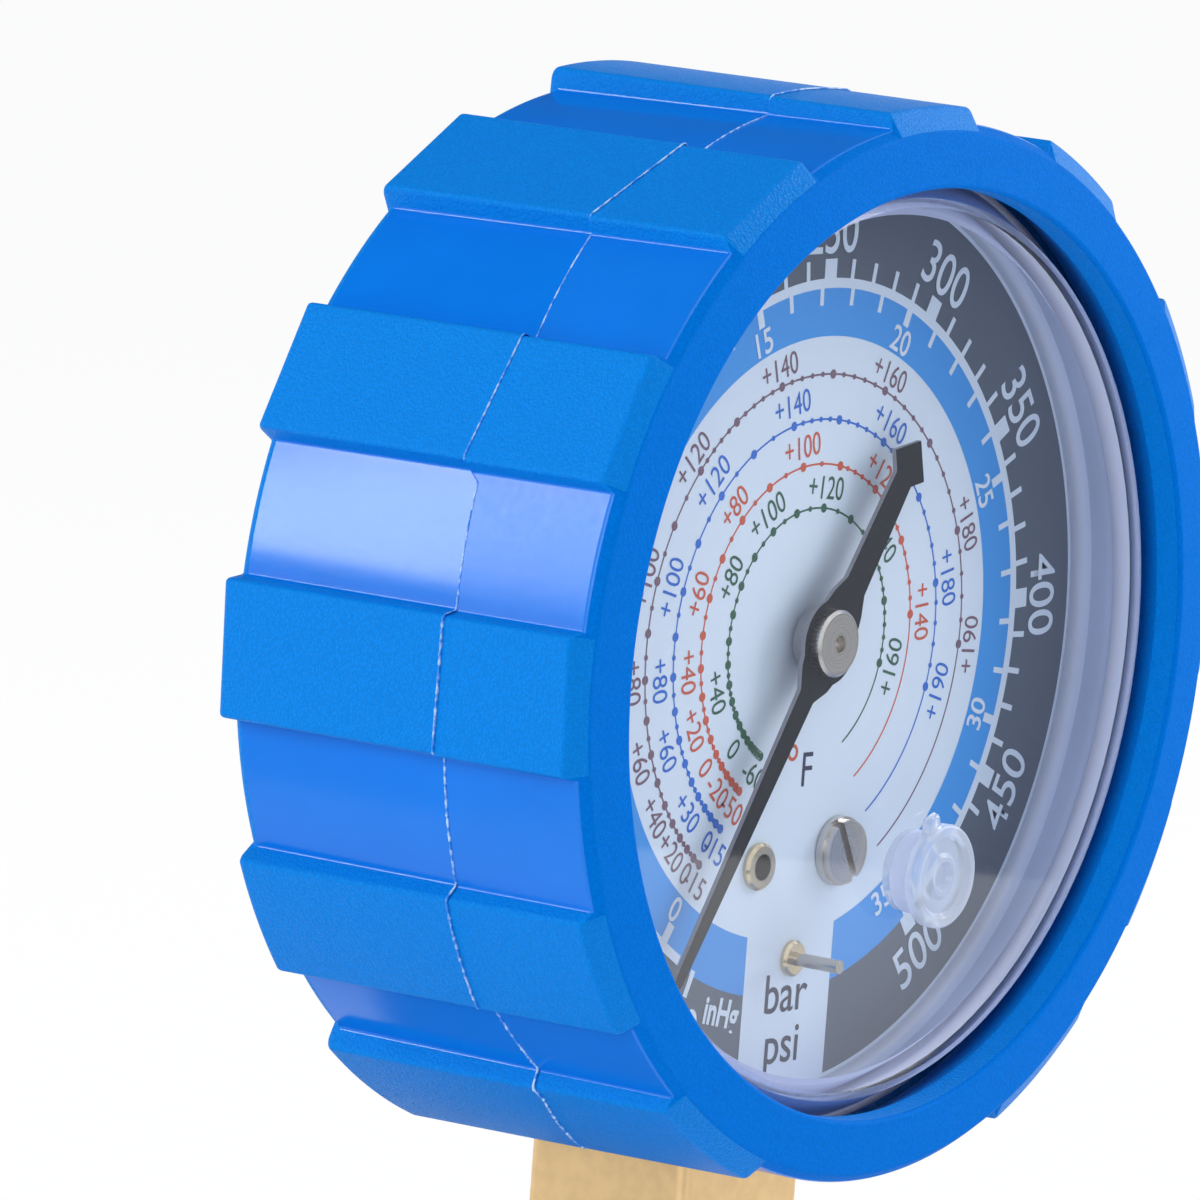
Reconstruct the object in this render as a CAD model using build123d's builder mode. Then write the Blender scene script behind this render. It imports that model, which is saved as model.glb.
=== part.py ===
"""Refrigerant manifold gauge: dial gauge head with its geared movement, rubber boot and stem.

Millimetres. X is right, Z is up and the dial looks along -Y. The origin is on the stem axis, at the
middle of the pipe thread. Depths are measured out of the dial's printed face, towards the viewer.
"""
import os
from math import acos, atan2, cos, degrees, pi, radians, sin, tan

from build123d import *

os.makedirs("parts", exist_ok=True)

# ---- driving dimensions --------------------------------------------------------------------------
thread_r = 5.1              # 1/8 taper pipe thread, taken at its crest
thread_length = 10.0
neck_r = 4.6
neck_length = 1.0
shank_side = 14.0           # wrench square
shank_corner = 0.8
shank_shown = 11.6          # between the neck and the boot
inlet_r = 2.0
port_r = 1.2                # crosses from the inlet to the tube
restrictor_length = 4.0
jet_r = 0.3

case_r = 34.1               # pressed steel cup
case_wall = 0.8
case_bend = 2.2             # round the back of the cup
case_rim = 0.8              # width of the flange at the cup's mouth
case_depth = 21.0
case_front = 0.6            # depth of the flange's front
relief_at = (0, 18.0)
relief_hole_r = 5.0
relief_lip, relief_lip_thickness = 1.2, 1.0     # of the blow-out plug, outside the case

dial_thickness = 0.6
dial_gap = 0.25             # round the dial, inside the case
dial_bore_r = 1.6
dial_clear = 2.0            # from the front of the shank to the face of the dial

gasket_thickness = 0.8
flange_thickness = 1.6      # the lens flange that the bezel holds
flange_width = 0.8
lens_draft = 1.8            # how much the lens narrows to its front
lens_front = 7.0
window_thickness = 1.8
lens_round = 0.9            # of the window's front edge
plug_at = (7.9, -16.45)
plug_hole_r = 3.0
plug_overhang = 0.75
plug_head, plug_tail = 1.0, 0.7     # above and below the window
plug_tab_length, plug_tab_width = 1.8, 1.7
plug_turn = 113.0           # direction of the pull tab
bezel_wall = 0.65

boot_wall = 1.7
boot_floor = 1.2
boot_grip = 5.5             # how far the boot wraps round the back of the case
boot_turn = 2.1             # how far it sits turned on the case
pad_height = 1.1
pad_pitch = 30.0
pad_half_angle, pad_foot_angle = 7.06, 8.2
pad_rise = 0.5              # how much higher the pads are at the back
stem_gap = 0.6              # round the shank, in the boot
lip_gap = 0.65              # between the lip and the edge of the lens
lip_height = 2.65           # above the lens
ring_fall = 1.55            # from the lip back to the pads

dial_eyelet_at, dial_eyelet_r = (-3.9, -16.0), 1.25
stop_pin_at, stop_pin_r = (1.0, -22.95), 0.49
stop_eyelet_r = 0.85
eyelet_flange, eyelet_height = 0.45, 0.5
adjuster_at, adjuster_r = (5.4, -15.5), 1.5
adjuster_flange, adjuster_head = 1.0, 1.15
adjuster_turn = 118.0       # direction of its slot

pointer_zero = 237.0        # clock position of the pointer at rest, from +X towards +Z
needle_margin = 4.65        # from the needle's tip to the edge of the dial
tail_length = 16.7
pointer_lift = 1.75
pointer_thickness = 0.35
hub_r, hub_height = 2.4, 0.8
arbor_r, pivot_r = 0.6, 0.5

gear_module = 0.3
pinion_teeth = 12
sector_full_teeth = 114     # teeth of the full wheel that the sector is cut from
pressure_angle = 25.0
backlash = 0.07
sector_direction = -52.0    # from the dial axis to the sector's pivot
teeth_before, teeth_after = 11, 4   # on either side of the middle of the mesh at zero
sector_arbor_r, sector_pivot_r = 0.9, 0.55
tail_arm, tail_angle = 4.5, -36.0
link_length, link_angle, link_half_width = 9.0, 60.0, 1.3
link_pin_r = 0.6
plate_thickness = 1.0
spacer_length = 3.7         # between the movement's two plates
plate_behind = 1.5          # from the dial's face to the front plate
pillar_r, pillar_pivot_r = 1.6, 0.75
pillar_left_at = (-9.0, -12.0)
pillar_reach = 10.56        # from the sector's pivot to the right pillar
pillar_clear = 11.86        # degrees between that pillar and the sector's edge
sector_thickness, link_thickness, lug_thickness = 1.0, 0.6, 1.4
spring_gap, sector_gap, link_gap = 0.4, 0.3, 0.2    # free space in front of each layer

spring_wire, spring_height = 0.16, 0.7
spring_half_turns = 8
spring_in, spring_out = 1.44, 6.4    # to the middle of the wire
stud_r = 0.6
stud_direction = 228.5

tube_gap = 7.8              # from the case's wall to the middle of the tube
tube_depth, tube_thickness, tube_wall = 6.5, 2.4, 0.35
tube_root_angle = 261.0
tip_lead = 1.2              # the tube ends this many degrees past the link's pin
cap_wall = 0.8
cap_reach, cap_floor = 5.0, 7.5     # degrees of tube in the cap, and of free space past its end
block_above, block_below = 7.0, 5.3     # reach of the socket's block on either side of the tube
movement_screw_r, case_screw_r = 1.0, 1.5
movement_head, case_head = 0.9, 1.4     # how far the heads stand out, and overhang
screw_depth = 4.0           # of their holes in the block
screw_inset, screw_above = 3.0, 4.5     # from the shank's side, and above the tube's path

running = 0.05              # radial clearance of a turning fit
press = 0.01                # of a fit that holds
loose = 0.1                 # of rubber and of covers
link_play = 0.2             # of the link's pin in the tip block

# ---- frames --------------------------------------------------------------------------------------
case_back = case_front - case_depth
case_inside = case_back + case_wall
rim_r = case_r + case_rim
bore_r = case_r - case_wall
dial_r = bore_r - dial_gap
flange_back = case_front + gasket_thickness
flange_front = flange_back + flange_thickness
lens_flange_r = rim_r - loose
lens_shoulder_r = lens_flange_r - flange_width
lens_front_r = lens_shoulder_r - lens_draft
window_back = lens_front - window_thickness
bezel_r = rim_r + running + bezel_wall
bezel_back = case_front - case_wall - bezel_wall
boot_bore_r = bezel_r + loose
boot_r = boot_bore_r + boot_wall
pad_r = boot_r + pad_height
boot_back = case_back - boot_floor
lip_r = lens_front_r + lip_gap
lip_front = lens_front + lip_height
pad_front = lip_front - ring_fall

shank_bottom = thread_length / 2 + neck_length
dial_height = shank_bottom + shank_shown + boot_r
dial_y = -(shank_side / 2 + dial_clear)
dial_axis = Axis((0, dial_y, dial_height), (0, -1, 0))


def polar(r, angle, at=(0, 0)):
    return (at[0] + r * cos(radians(angle)), at[1] + r * sin(radians(angle)))


centre_distance = gear_module * (pinion_teeth + sector_full_teeth) / 2
sector_pivot = polar(centre_distance, sector_direction)
tail_pin = polar(tail_arm, tail_angle, sector_pivot)
tip_pin = polar(link_length, link_angle, tail_pin)
tip_angle = degrees(atan2(tip_pin[1], tip_pin[0]))
tooth_pitch = 360 / sector_full_teeth
sector_middle = sector_direction + 180
sector_low = sector_middle - tooth_pitch * (teeth_before + 0.5)
sector_high = sector_middle + tooth_pitch * (teeth_after - 0.5)

# layers of the movement, as depths
front_plate = (-plate_behind - plate_thickness, -plate_behind)
spacer = (front_plate[0] - spacer_length, front_plate[0])
back_plate = (spacer[0] - plate_thickness, spacer[0])
spring_layer = (spacer[1] - spring_gap - spring_height, spacer[1] - spring_gap)
sector_layer = (spring_layer[0] - sector_gap - sector_thickness, spring_layer[0] - sector_gap)
link_layer = (sector_layer[0] - link_gap - link_thickness, sector_layer[0] - link_gap)
lug_layer = (link_layer[0] - link_gap - lug_thickness, link_layer[0] - link_gap)
block_front = back_plate[0]

tube_r = bore_r - tube_gap
tube_mid = block_front - cap_wall - running - tube_depth / 2
tube_tip_angle = tip_angle + tip_lead
screw_x, screw_y = shank_side / 2 - screw_inset, screw_above - tube_r
block_screws = {"left": (-screw_x, screw_y), "right": (screw_x, screw_y)}
pillars = {"left": pillar_left_at,
           "right": polar(pillar_reach, sector_low - pillar_clear, sector_pivot)}


def face(depth):
    """Plane across the dial axis: local x right, local y up, extrusions come towards the viewer."""
    return Plane(origin=(0, dial_y - depth, dial_height), x_dir=(1, 0, 0), z_dir=(0, -1, 0))


def radial(angle):
    """Plane through the dial axis: local x is the radius at this angle, local y the depth."""
    a = radians(angle)
    return Plane(origin=(0, dial_y, dial_height), x_dir=(cos(a), 0, sin(a)),
                 z_dir=(sin(a), 0, -cos(a)))


def placed(points, at, turn):
    """Points turned about their own origin and moved to a place on the face."""
    c, s = cos(radians(turn)), sin(radians(turn))
    return [(at[0] + x * c - y * s, at[1] + x * s + y * c) for x, y in points]


def discs(at, steps, mode=Mode.ADD):
    """Stacked round steps, each a (radius, from depth, to depth), in the part being built."""
    for r, low, high in steps:
        with BuildSketch(face(low)) as disc:
            with Locations(at):
                Circle(r)
        extrude(disc.sketch, amount=high - low, mode=mode)


def bore(at, r, low, high):
    discs(at, [(r, low, high)], Mode.SUBTRACT)


def slot(at, turn, front, length, width, depth):
    """Straight cut across a head, down from its front."""
    with BuildSketch(face(front)) as groove:
        with Locations(Location((*at, 0), (0, 0, turn))):
            Rectangle(length, width)
    extrude(groove.sketch, amount=-depth, mode=Mode.SUBTRACT)


def save(part, name):
    part.label = name
    export_step(part, f"parts/{name}.step")


def turned(points, name):
    """A ring with the given (radius, depth) outline about the dial axis."""
    with BuildPart() as ring:
        with BuildSketch(radial(0)):
            with BuildLine():
                Polyline(*points, close=True)
            make_face()
        revolve(axis=dial_axis)
    save(ring.part, name)


def spindle(at, steps, name):
    """Stepped round pin."""
    with BuildPart() as pin:
        discs(at, steps)
    save(pin.part, name)


# ---- stem ----------------------------------------------------------------------------------------
root_seat = 16              # degrees of the tube's path cut into the block
port_depth = (dial_y - tube_mid) / 2
with BuildPart() as socket:
    with BuildSketch(Plane.XY.offset(shank_bottom)):
        RectangleRounded(shank_side, shank_side, shank_corner)
    extrude(amount=dial_height - tube_r - block_below + 0.3 - shank_bottom)
    chamfer(socket.faces().sort_by(Axis.Z)[0].edges(), 0.5)
    with BuildSketch(Plane.XY.offset(dial_height - tube_r - block_below)):
        block_depth = block_front - case_inside - 0.02
        with Locations((0, dial_y - block_front + block_depth / 2)):
            RectangleRounded(shank_side, block_depth, shank_corner)
    extrude(amount=block_above + block_below)
    with BuildSketch(Plane.XY.offset(thread_length / 2 - 0.5)):
        Circle(neck_r)
    extrude(amount=neck_length + 0.5)
    with BuildSketch(Plane.XY.offset(-thread_length / 2)):
        Circle(thread_r)
    extrude(amount=thread_length)
    chamfer(socket.edges().sort_by(Axis.Z)[0], 0.5)
    # inlet passage, the port across to the tube and the seat of the tube's root
    with BuildSketch(Plane.XY.offset(-thread_length / 2)):
        Circle(inlet_r)
    extrude(amount=thread_length / 2 + dial_height - tube_r + 2.0, mode=Mode.SUBTRACT)
    port_start = polar(tube_r, tube_root_angle)[0] - 0.5
    with BuildSketch(Plane(origin=(port_start, port_depth, dial_height - tube_r + 0.5),
                           z_dir=(1, 0, 0))):
        Circle(port_r)
    extrude(amount=-port_start, mode=Mode.SUBTRACT)
    with BuildSketch(radial(tube_root_angle + 1)):
        with Locations((tube_r, tube_mid)):
            SlotOverall(tube_depth + 2 * running, tube_thickness + 2 * running, rotation=90)
    revolve(axis=dial_axis, revolution_arc=-root_seat, mode=Mode.SUBTRACT)
    for at in block_screws.values():
        bore(at, movement_screw_r, block_front - screw_depth, block_front)
        bore(at, case_screw_r, case_inside, case_inside + screw_depth)
save(socket.part, "socket")

restrictor_low = 1.0 - thread_length / 2
with BuildPart() as restrictor:
    with BuildSketch(Plane.XY.offset(restrictor_low)):
        Circle(inlet_r - 0.02)
        Circle(jet_r, mode=Mode.SUBTRACT)
    extrude(amount=restrictor_length)
    with BuildSketch(Plane.XY.offset(restrictor_low)):
        Rectangle(2.5 * inlet_r, 0.6)
    extrude(amount=0.8, mode=Mode.SUBTRACT)
save(restrictor.part, "restrictor")

# ---- case and front ------------------------------------------------------------------------------
inner_bend = case_bend - case_wall + 0.2
with BuildPart() as case:
    with BuildSketch(radial(0)):
        with BuildLine():
            Polyline((0, case_back), (case_r - case_bend, case_back),
                     (case_r - 0.3 * case_bend, case_back + 0.3 * case_bend),
                     (case_r, case_back + case_bend), (case_r, case_front - case_wall),
                     (rim_r, case_front - case_wall), (rim_r, case_front), (bore_r, case_front),
                     (bore_r, case_inside + inner_bend),
                     (bore_r - 0.3 * inner_bend, case_inside + 0.3 * inner_bend),
                     (bore_r - inner_bend, case_inside), (0, case_inside), close=True)
        make_face()
    revolve(axis=dial_axis)
    with BuildSketch(Plane.XY.offset(dial_height - case_r - 1)):
        RectangleRounded(shank_side + 3 * loose, shank_side + 3 * loose, shank_corner)
    extrude(amount=4.0, mode=Mode.SUBTRACT)
    bore(relief_at, relief_hole_r, case_back, case_inside)
    for at in block_screws.values():
        bore(at, case_screw_r + 0.3, case_back, case_inside)
save(case.part, "case")

with BuildPart() as relief_plug:
    discs(relief_at, [(relief_hole_r + relief_lip, case_back - relief_lip_thickness, case_back),
                      (relief_hole_r - press, case_back, case_inside),
                      (relief_hole_r + relief_lip / 2, case_inside, case_inside + 1.0)])
    chamfer(relief_plug.faces().sort_by(Axis.Y)[-1].edges(), 0.4)
save(relief_plug.part, "relief_plug")

turned([(case_r - 0.5, case_front), (rim_r, case_front), (rim_r, flange_back),
        (case_r - 0.5, flange_back)], "lens_gasket")

with BuildPart() as lens:
    with BuildSketch(radial(0)):
        with BuildLine():
            Polyline((0, lens_front), (lens_front_r - lens_round, lens_front),
                     (lens_front_r - 0.3 * lens_round, lens_front - 0.3 * lens_round),
                     (lens_front_r, lens_front - lens_round),
                     (lens_shoulder_r, flange_front), (lens_flange_r, flange_front),
                     (lens_flange_r, flange_back), (lens_shoulder_r - 0.9, flange_back),
                     (lens_front_r - 1.1, window_back - 0.5), (lens_front_r - 1.6, window_back),
                     (0, window_back), close=True)
        make_face()
    revolve(axis=dial_axis)
    bore(plug_at, plug_hole_r, window_back, lens_front)
save(lens.part, "lens")

with BuildPart() as lens_plug:
    with BuildSketch(face(lens_front)):
        with Locations(plug_at):
            Circle(plug_hole_r + plug_overhang)
        tab_at = polar(plug_hole_r + plug_tab_length / 2, plug_turn, plug_at)
        with Locations(Location((*tab_at, 0), (0, 0, plug_turn))):
            RectangleRounded(plug_tab_length, plug_tab_width, 0.4)
    extrude(amount=plug_head)
    chamfer(lens_plug.faces().sort_by(Axis.Y)[0].edges(), 0.25)
    discs(plug_at, [(plug_hole_r - running, window_back - plug_tail, lens_front)])
    bore(plug_at, plug_hole_r / 2, lens_front + plug_head / 2, lens_front + plug_head)
save(lens_plug.part, "lens_plug")

turned([(rim_r + running, flange_front), (lens_shoulder_r + 2 * loose, flange_front),
        (lens_shoulder_r + 2 * loose, flange_front + bezel_wall),
        (bezel_r - 0.3, flange_front + bezel_wall), (bezel_r, flange_front + bezel_wall - 0.3),
        (bezel_r, bezel_back), (case_r + running, bezel_back),
        (case_r + running, case_front - case_wall), (rim_r + running, case_front - case_wall)],
       "bezel_ring")

# ---- boot ----------------------------------------------------------------------------------------
pads = round(360 / pad_pitch)
stem_pad = round((270 - boot_turn) / pad_pitch)
pad_angles = [boot_turn + pad_pitch * k for k in range(pads) if k != stem_pad]
pad_back_r = pad_r + pad_rise
ring_r = boot_r - 0.6
boot_step = flange_front + bezel_wall + 2 * loose
with BuildPart() as boot:
    with BuildSketch(face(boot_back)):
        for middle in pad_angles:
            with BuildLine():
                Polyline(polar(boot_r - 0.8, middle - pad_foot_angle),
                         polar(boot_r, middle - pad_foot_angle),
                         polar(pad_back_r + 0.1, middle - pad_half_angle),
                         polar(pad_back_r + 0.5, middle),
                         polar(pad_back_r + 0.1, middle + pad_half_angle),
                         polar(boot_r, middle + pad_foot_angle),
                         polar(boot_r - 0.8, middle + pad_foot_angle), close=True)
            make_face()
    extrude(amount=lip_front - boot_back)
    with BuildSketch(radial(0)):
        with BuildLine():
            Polyline((boot_bore_r, boot_back), (pad_back_r - 0.9, boot_back),
                     (pad_back_r - 0.25, boot_back + 0.25), (pad_back_r, boot_back + 0.9),
                     (pad_r, pad_front - 0.3), (pad_r - 0.12, pad_front),
                     (ring_r, lip_front - 0.45), (boot_bore_r, lip_front - 0.45), close=True)
        make_face()
    revolve(axis=dial_axis, mode=Mode.INTERSECT)
    with BuildSketch(radial(0)):
        with BuildLine():
            Polyline((case_r - boot_grip, boot_back), (boot_r - 1.1, boot_back),
                     (boot_r - 0.5, boot_back + 0.2), (boot_r - 0.3, boot_back + 0.8),
                     (boot_r, pad_front), (boot_r - 0.15, pad_front + 0.6),
                     (ring_r, lip_front - 0.5), (lip_r + 0.65, lip_front),
                     (lip_r + 0.2, lip_front - 0.1), (lip_r, lip_front - 0.4),
                     (lip_r, lens_front + 0.5), (lens_shoulder_r + 0.6, boot_step),
                     (boot_bore_r, boot_step), (boot_bore_r, bezel_back - 2 * loose),
                     (case_r + loose, bezel_back - 2 * loose), (case_r + loose, case_back + case_bend),
                     (case_r + loose - 0.3 * case_bend, case_back - loose + 0.3 * case_bend),
                     (case_r + loose - case_bend, case_back - loose),
                     (case_r - boot_grip, case_back - loose), close=True)
        make_face()
    revolve(axis=dial_axis)
    with BuildSketch(Plane.XY.offset(dial_height - pad_back_r - 1)):
        RectangleRounded(shank_side + 2 * stem_gap, shank_side + 2 * stem_gap, 1.5)
    extrude(amount=pad_back_r - case_r + 3.6, mode=Mode.SUBTRACT)
save(boot.part, "boot")

# ---- dial and its fittings -----------------------------------------------------------------------
with BuildPart() as dial_plate:
    with BuildSketch(face(-dial_thickness)):
        Circle(dial_r)
        for at, r in (((0, 0), dial_bore_r), (dial_eyelet_at, dial_eyelet_r),
                      (adjuster_at, adjuster_r + 0.3), (stop_pin_at, stop_eyelet_r)):
            with Locations(at):
                Circle(r, mode=Mode.SUBTRACT)
    extrude(amount=dial_thickness)
save(dial_plate.part, "dial_plate")


def eyelet(at, hole, shank, back, name):
    """Hollow rivet with a rolled front rim and a flat shank."""
    with BuildPart() as ring:
        discs(at, [(shank + eyelet_flange, 0, eyelet_height)])
        chamfer(ring.faces().sort_by(Axis.Y)[0].edges(), 0.2)
        discs(at, [(shank, back, 0)])
        bore(at, hole, back, eyelet_height)
    save(ring.part, name)


eyelet(dial_eyelet_at, dial_eyelet_r - 0.3, dial_eyelet_r, front_plate[1] - 0.7, "dial_eyelet")
eyelet(stop_pin_at, stop_pin_r + press, stop_eyelet_r, -dial_thickness - 0.5, "stop_pin_eyelet")
spindle(stop_pin_at, [(stop_pin_r, -dial_thickness - 0.8, window_back - 0.9)], "stop_pin")

with BuildPart() as adjusting_screw:
    discs(adjuster_at, [(adjuster_r, front_plate[0] - 0.6, loose),
                        (adjuster_r + adjuster_flange, loose, adjuster_head - 0.5),
                        (adjuster_r + adjuster_flange - 0.2, adjuster_head - 0.5, adjuster_head)])
    slot(adjuster_at, adjuster_turn, adjuster_head, 4 * adjuster_r, 0.65, 0.7)
save(adjusting_screw.part, "adjusting_screw")

# ---- pointer -------------------------------------------------------------------------------------
pointer_front = pointer_lift + pointer_thickness
needle_length = dial_r - needle_margin
with BuildPart() as pointer:
    with BuildSketch(face(pointer_lift)):
        upper = [(-tail_length, 0), (-tail_length + 2.1, 2.25), (-tail_length + 3.2, 1.1),
                 (-4.6, 1.3), (-3.2, 2.0), (0, 2.9), (3.0, 1.9), (4.4, 0.95),
                 (needle_length - 1, 0.5), (needle_length, 0.15)]
        lower = [(x, -y) for x, y in reversed(upper[1:])]
        with BuildLine():
            Polyline(*placed([*upper, *lower], (0, 0), pointer_zero), close=True)
        make_face()
        Circle(hub_r + 0.7)
        Circle(arbor_r + 0.12, mode=Mode.SUBTRACT)
    extrude(amount=pointer_thickness)
save(pointer.part, "pointer")

with BuildPart() as pointer_hub:
    discs((0, 0), [(hub_r, pointer_front, pointer_front + hub_height)])
    chamfer(pointer_hub.faces().sort_by(Axis.Y)[0].edges(), 0.2)
    bore((0, 0), arbor_r + press, pointer_front, pointer_front + hub_height)
save(pointer_hub.part, "pointer_hub")

turned([(arbor_r + press, 0.35), (hub_r - 0.2, 0.35), (hub_r, 0.6), (hub_r, pointer_lift),
        (arbor_r + press, pointer_lift)], "pointer_bushing")

spindle((0, 0), [(pivot_r, back_plate[0], back_plate[1] + loose),
                 (arbor_r, back_plate[1] + loose, pointer_front + 0.2)], "pinion_arbor")


def tooth_outline(teeth, middle):
    """Closed outline of one involute tooth centred on the angle middle, rooted inside the blank."""
    pitch_r = gear_module * teeth / 2
    base_r = pitch_r * cos(radians(pressure_angle))
    tip_r = pitch_r + gear_module
    root_r = pitch_r - 1.25 * gear_module
    roll = radians(pressure_angle)
    half_base = (pi * gear_module / 2 - backlash) / 2 / pitch_r + tan(roll) - roll

    def flank(r, side):
        unrolled = acos(base_r / r)
        lean = half_base - (tan(unrolled) - unrolled)
        return polar(r, middle + side * degrees(lean))

    start = max(base_r, root_r)
    radii = [start, (start + tip_r) / 2, tip_r]
    foot = [polar(root_r - 0.1, middle + side * degrees(half_base)) for side in (-1, 1)]
    return [foot[0], *[flank(r, -1) for r in radii], *[flank(r, 1) for r in reversed(radii)], foot[1]]


with BuildPart() as pinion:
    with BuildSketch(face(sector_layer[0] - 0.15)):
        Circle(gear_module * (pinion_teeth / 2 - 1.25))
        for k in range(pinion_teeth):
            with BuildLine():
                Polyline(*tooth_outline(pinion_teeth, sector_direction + 360 / pinion_teeth * k),
                         close=True)
            make_face()
        Circle(arbor_r, mode=Mode.SUBTRACT)
    extrude(amount=sector_layer[1] - sector_layer[0] + 0.3)
save(pinion.part, "pinion")

collet_r = spring_in - spring_wire / 2 - running
turned([(arbor_r + press, spring_layer[0]), (collet_r, spring_layer[0]), (collet_r, spring_layer[1]),
        (arbor_r + press, spring_layer[1])], "hairspring_collet")

# the spring is a chain of half circles, whose centres take turns on either side of the axis
spring_step = (spring_out - spring_in) / spring_half_turns
with BuildPart() as hairspring:
    with BuildSketch(face(spring_layer[0])):
        with BuildLine():
            for side in (-spring_wire / 2, spring_wire / 2):
                for k in range(spring_half_turns):
                    CenterArc(polar(spring_step * (k % 2), stud_direction),
                              spring_in + spring_step * k + side, stud_direction + 180 * k, 180)
            for r in (spring_in, spring_out):
                Line(polar(r - spring_wire / 2, stud_direction),
                     polar(r + spring_wire / 2, stud_direction))
        make_face()
    extrude(amount=spring_height)
save(hairspring.part, "hairspring")

stud_at = polar(spring_out, stud_direction)
with BuildPart() as hairspring_stud:
    discs(stud_at, [(stud_r, spring_layer[0], front_plate[0])])
    slot(stud_at, stud_direction + 90, spring_layer[1], 3 * stud_r, spring_wire + 2 * running,
         spring_height)
save(hairspring_stud.part, "hairspring_stud")

# ---- movement ------------------------------------------------------------------------------------
sector_root = gear_module * (sector_full_teeth / 2 - 1.25)
sector_rim = 2.6
with BuildPart() as sector_gear:
    with BuildSketch(face(sector_layer[0])):
        with BuildLine():
            rim = CenterArc(sector_pivot, sector_root, sector_low, sector_high - sector_low)
            back = CenterArc(sector_pivot, sector_root - sector_rim, sector_low,
                             sector_high - sector_low)
            Line(rim @ 0, back @ 0)
            Line(rim @ 1, back @ 1)
        make_face()
        with Locations(sector_pivot):
            Circle(sector_arbor_r + 1.7)
        spoke_end = sector_root - sector_rim + 0.6
        for angle in (sector_low + 4, sector_high - 4):
            with BuildLine():
                Polyline(*placed([polar(1.5, -50), polar(spoke_end, -4), polar(spoke_end, 4),
                                  polar(1.5, 50)], sector_pivot, angle), close=True)
            make_face()
        with BuildLine():
            Polyline(*placed([polar(2.0, -90), polar(tail_arm, -18), polar(tail_arm, 18),
                              polar(2.0, 90)], sector_pivot, tail_angle), close=True)
        make_face()
        with Locations(tail_pin):
            Circle(link_pin_r + 0.9)
        for k in range(-teeth_before, teeth_after):
            tooth = tooth_outline(sector_full_teeth, sector_middle + tooth_pitch * (k - 0.5))
            with BuildLine():
                Polyline(*placed(tooth, sector_pivot, 0), close=True)
            make_face()
        with Locations(sector_pivot):
            Circle(sector_arbor_r, mode=Mode.SUBTRACT)
        with Locations(tail_pin):
            Circle(link_pin_r, mode=Mode.SUBTRACT)
    extrude(amount=sector_layer[1] - sector_layer[0])
save(sector_gear.part, "sector_gear")

spindle(sector_pivot, [(sector_pivot_r, back_plate[0], back_plate[1] + loose),
                       (sector_arbor_r, back_plate[1] + loose, front_plate[0] - loose),
                       (sector_pivot_r, front_plate[0] - loose, front_plate[1])], "sector_arbor")

spindle(tail_pin, [(link_pin_r + 0.5, link_layer[0] - 0.45, link_layer[0] - running),
                   (link_pin_r, link_layer[0] - running, sector_layer[1])], "link_screw")

with BuildPart() as link:
    with BuildSketch(face(link_layer[0])):
        middle = polar(link_length / 2, link_angle, tail_pin)
        with Locations(Location((*middle, 0), (0, 0, link_angle))):
            SlotCenterToCenter(link_length, 2 * link_half_width)
        with Locations(tail_pin):
            Circle(link_pin_r + running, mode=Mode.SUBTRACT)
        with Locations(tip_pin):
            Circle(link_pin_r, mode=Mode.SUBTRACT)
    extrude(amount=link_layer[1] - link_layer[0])
save(link.part, "link")

spindle(tip_pin, [(link_pin_r, lug_layer[0] - 0.2, link_layer[1]),
                  (link_pin_r + 0.4, link_layer[1], link_layer[1] + 0.4)], "link_pin")


def movement_plate(layer, bosses, holes, name):
    """Flat plate bounded by the taut outline around its bosses."""
    with BuildPart() as plate:
        with BuildSketch(face(layer[0])):
            with BuildLine():
                for at, r in bosses:
                    CenterArc(at, r, 0, 360)
            make_hull()
            for at, r in holes:
                with Locations(at):
                    Circle(r, mode=Mode.SUBTRACT)
        extrude(amount=plate_thickness)
    save(plate.part, name)


pillar_bosses = [(at, pillar_r + 1.0) for at in pillars.values()]
pillar_holes = [(at, pillar_pivot_r + running) for at in pillars.values()]
bosses = [((0, 0), 3.6), (sector_pivot, 3.2), *pillar_bosses]
movement_plate(front_plate,
               [*bosses, (dial_eyelet_at, dial_eyelet_r + 1.3), (adjuster_at, adjuster_r + 1.3)],
               [((0, 0), arbor_r + running), (sector_pivot, sector_pivot_r + running),
                (dial_eyelet_at, dial_eyelet_r + press), (adjuster_at, adjuster_r + running),
                *pillar_holes], "movement_front_plate")
movement_plate(back_plate, [*bosses, *[(at, movement_screw_r + 1.4) for at in block_screws.values()]],
               [((0, 0), pivot_r + running), (sector_pivot, sector_pivot_r + running),
                *[(at, movement_screw_r + press) for at in block_screws.values()],
                *pillar_holes], "movement_back_plate")

for side, at in pillars.items():
    pillar_end = front_plate[1] + running
    spindle(at, [(pillar_pivot_r, back_plate[0], spacer[0]), (pillar_r, *spacer),
                 (pillar_pivot_r, spacer[1], pillar_end)], f"pillar_{side}")
    with BuildPart() as plate_screw:
        discs(at, [(pillar_r - 0.2, pillar_end, pillar_end + 0.6)])
        slot(at, 25, pillar_end + 0.6, 2.5 * pillar_r, 0.4, 0.35)
    save(plate_screw.part, f"plate_screw_{side}")

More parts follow.
